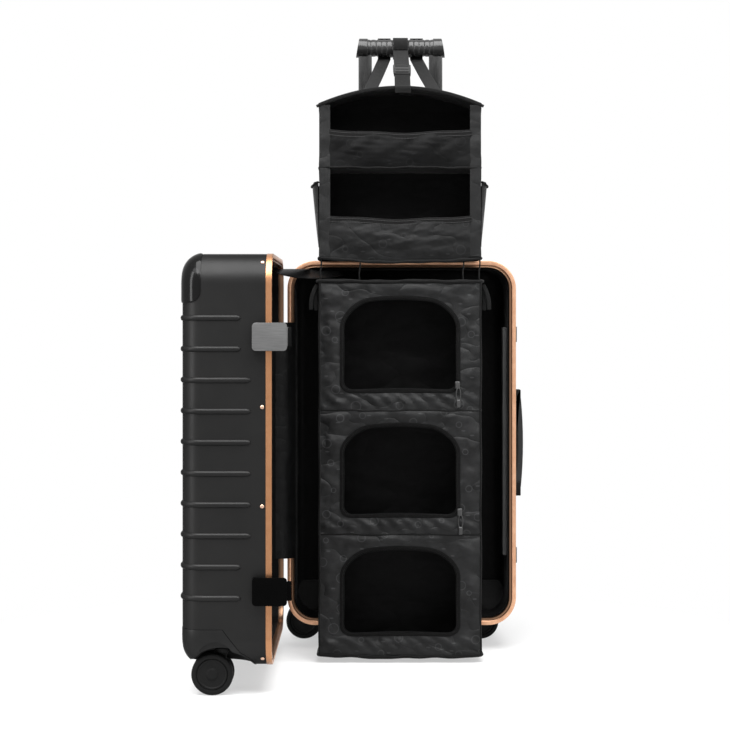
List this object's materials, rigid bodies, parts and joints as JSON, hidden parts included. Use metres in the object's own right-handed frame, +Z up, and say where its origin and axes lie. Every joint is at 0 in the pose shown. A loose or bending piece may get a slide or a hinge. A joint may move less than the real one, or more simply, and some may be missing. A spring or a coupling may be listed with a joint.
{
  "type": "carry-on suitcase",
  "caption": "Metal-framed carry-on suitcase on spinner casters, standing open, with a telescopic trolley handle and a hanging fabric shelf organizer.",
  "frame": {"origin": "on the floor under the middle of the part's box, with the lid open at a right angle", "axes": "+Z up, along the longest extent; -Y the side that the open base faces; the lid stands on the -X side"},
  "size_m": [0.4638, 0.4916, 0.8928],
  "materials": {
    "shell": "matte charcoal coat on pressed sheet",
    "frame": "satin rose-copper anodised",
    "lining": "black satin lining cloth",
    "corner_cap": "gloss black",
    "black_plastic": "fine moulded texture",
    "tread": "smooth dark elastomer",
    "latch_grey": "satin grey",
    "latch_black": "satin black",
    "tube": "brushed anodised",
    "organizer_fabric": "dark woven polyester",
    "webbing": "ribbed woven webbing"
  },
  "bodies": {
    "root": {"base_shell": "shell", "base_frame": "frame", "base_lining": "lining", "base_corner_cap_left": "corner_cap", "base_corner_cap_right": "corner_cap", "base_left_wheel_housing": "black_plastic", "base_right_wheel_housing": "black_plastic", "hinge_base_leaf": "latch_black", "upper_latch_keeper": "latch_black", "lower_latch_keeper": "latch_black", "trolley_outer_tubes": "tube", "trolley_bezel": "black_plastic", "carry_handle_mount": "black_plastic", "carry_handle_backing": "black_plastic", "hinge_flap": "organizer_fabric", "lid_stay": "organizer_fabric"},
    "lid": {"lid_shell": "shell", "lid_frame": "frame", "lid_lining": "lining", "lid_corner_cap_left": "corner_cap", "lid_corner_cap_right": "corner_cap", "lid_left_wheel_housing": "black_plastic", "lid_right_wheel_housing": "black_plastic", "hinge_lid_leaf": "latch_black", "upper_latch_body": "latch_black", "lower_latch_body": "latch_black"},
    "upper_lever": {"upper_latch_lever": "latch_grey"},
    "lower_lever": {"lower_latch_lever": "latch_black"},
    "handle_middle": {"trolley_middle_tube_left": "tube", "trolley_middle_tube_right": "tube"},
    "handle_inner": {"trolley_inner_tube_left": "tube", "trolley_inner_tube_right": "tube", "trolley_grip": "black_plastic", "strap_centre": "webbing", "strap_buckle": "black_plastic", "strap_front": "webbing", "strap_left": "webbing", "strap_right": "webbing", "organizer_top_panel": "organizer_fabric", "organizer_sleeve_1": "organizer_fabric"},
    "handle_button": {"trolley_button": "black_plastic"},
    "carry_grip": {"carry_handle_grip": "black_plastic"},
    "upper_shelf": {"organizer_upper_shelf": "organizer_fabric", "organizer_sleeve_2": "organizer_fabric"},
    "waist": {"organizer_upper_floor": "organizer_fabric", "organizer_lower_top": "organizer_fabric", "organizer_sleeve_3": "organizer_fabric"},
    "middle_shelf": {"organizer_middle_shelf": "organizer_fabric", "organizer_sleeve_4": "organizer_fabric"},
    "lower_shelf": {"organizer_lower_shelf": "organizer_fabric", "organizer_sleeve_5": "organizer_fabric"},
    "bottom_shelf": {"organizer_bottom": "organizer_fabric"},
    "base_left_swivel": {"base_left_caster_fork": "black_plastic"},
    "base_left_wheels": {"base_left_twin_wheel": "tread"},
    "base_right_swivel": {"base_right_caster_fork": "black_plastic"},
    "base_right_wheels": {"base_right_twin_wheel": "tread"},
    "lid_left_swivel": {"lid_left_caster_fork": "black_plastic"},
    "lid_left_wheels": {"lid_left_twin_wheel": "tread"},
    "lid_right_swivel": {"lid_right_caster_fork": "black_plastic"},
    "lid_right_wheels": {"lid_right_twin_wheel": "tread"}
  },
  "joints": [
    {"name": "lid_hinge", "type": "hinge", "parent": "root", "child": "lid", "pos_m": [-0.11507, 0.09847, 0.3], "axis": [0, 0, -1], "range_deg": [-90, 0], "deforming": ["hinge_flap", "lid_stay"]},
    {"name": "handle_stage_1", "type": "slide", "parent": "root", "child": "handle_middle", "axis": [0, 0, 1], "range_m": [-0.148, 0], "deforming": ["strap_centre", "strap_left", "strap_right"]},
    {"name": "handle_stage_2", "type": "slide", "parent": "handle_middle", "child": "handle_inner", "axis": [0, 0, 1], "range_m": [-0.148, 0]},
    {"name": "handle_release", "type": "slide", "parent": "handle_inner", "child": "handle_button", "axis": [0, 0, 1], "range_m": [0, 0.003], "stiffness_N_per_m": 60},
    {"name": "carry_pull", "type": "slide", "parent": "root", "child": "carry_grip", "axis": [1, 0, 0], "range_m": [0, 0.008], "stiffness_N_per_m": 200},
    {"name": "upper_latch_turn", "type": "hinge", "parent": "lid", "child": "upper_lever", "pos_m": [-0.13547, -0.23843, 0.452], "axis": [0, 0, -1], "range_deg": [0, 70]},
    {"name": "lower_latch_turn", "type": "hinge", "parent": "lid", "child": "lower_lever", "pos_m": [-0.13547, -0.23843, 0.135], "axis": [0, 0, -1], "range_deg": [0, 70]},
    {"name": "upper_shelf_fold", "type": "slide", "parent": "handle_inner", "child": "upper_shelf", "axis": [0, 0, 1], "range_m": [0, 0.04479], "deforming": ["organizer_sleeve_1"]},
    {"name": "waist_fold", "type": "slide", "parent": "upper_shelf", "child": "waist", "axis": [0, 0, 1], "range_m": [0, 0.06405], "deforming": ["organizer_sleeve_2"]},
    {"name": "middle_shelf_fold", "type": "slide", "parent": "waist", "child": "middle_shelf", "axis": [0, 0, 1], "range_m": [0, 0.09269], "deforming": ["organizer_sleeve_3"]},
    {"name": "lower_shelf_fold", "type": "slide", "parent": "middle_shelf", "child": "lower_shelf", "axis": [0, 0, 1], "range_m": [0, 0.08905], "deforming": ["organizer_sleeve_4"]},
    {"name": "bottom_shelf_fold", "type": "slide", "parent": "lower_shelf", "child": "bottom_shelf", "axis": [0, 0, 1], "range_m": [0, 0.08644], "deforming": ["organizer_sleeve_5"]},
    {"name": "base_left_swivel_turn", "type": "hinge", "parent": "root", "child": "base_left_swivel", "pos_m": [-0.07807, 0.20547, 0.06], "axis": [0, 0, 1], "continuous": true},
    {"name": "base_left_wheel_roll", "type": "hinge", "parent": "base_left_swivel", "child": "base_left_wheels", "pos_m": [-0.09007, 0.20547, 0.0265], "axis": [0, 1, 0], "continuous": true},
    {"name": "base_right_swivel_turn", "type": "hinge", "parent": "root", "child": "base_right_swivel", "pos_m": [0.18393, 0.20547, 0.06], "axis": [0, 0, 1], "continuous": true},
    {"name": "base_right_wheel_roll", "type": "hinge", "parent": "base_right_swivel", "child": "base_right_wheels", "pos_m": [0.17193, 0.20547, 0.0265], "axis": [0, 1, 0], "continuous": true},
    {"name": "lid_left_swivel_turn", "type": "hinge", "parent": "lid", "child": "lid_left_swivel", "pos_m": [-0.17957, 0.06147, 0.06], "axis": [0, 0, 1], "continuous": true},
    {"name": "lid_left_wheel_roll", "type": "hinge", "parent": "lid_left_swivel", "child": "lid_left_wheels", "pos_m": [-0.19157, 0.06147, 0.0265], "axis": [0, 1, 0], "continuous": true},
    {"name": "lid_right_swivel_turn", "type": "hinge", "parent": "lid", "child": "lid_right_swivel", "pos_m": [-0.17957, -0.20053, 0.06], "axis": [0, 0, 1], "continuous": true},
    {"name": "lid_right_wheel_roll", "type": "hinge", "parent": "lid_right_swivel", "child": "lid_right_wheels", "pos_m": [-0.19157, -0.20053, 0.0265], "axis": [0, 1, 0], "continuous": true}
  ],
  "couplings": [
    {"joint": "handle_stage_2", "follows": "handle_stage_1", "ratio": 1},
    {"joint": "upper_shelf_fold", "follows": "handle_stage_1", "ratio": -0.30263},
    {"joint": "waist_fold", "follows": "handle_stage_1", "ratio": -0.43277},
    {"joint": "middle_shelf_fold", "follows": "handle_stage_1", "ratio": -0.62628},
    {"joint": "lower_shelf_fold", "follows": "handle_stage_1", "ratio": -0.60169},
    {"joint": "bottom_shelf_fold", "follows": "handle_stage_1", "ratio": -0.58405}
  ]
}
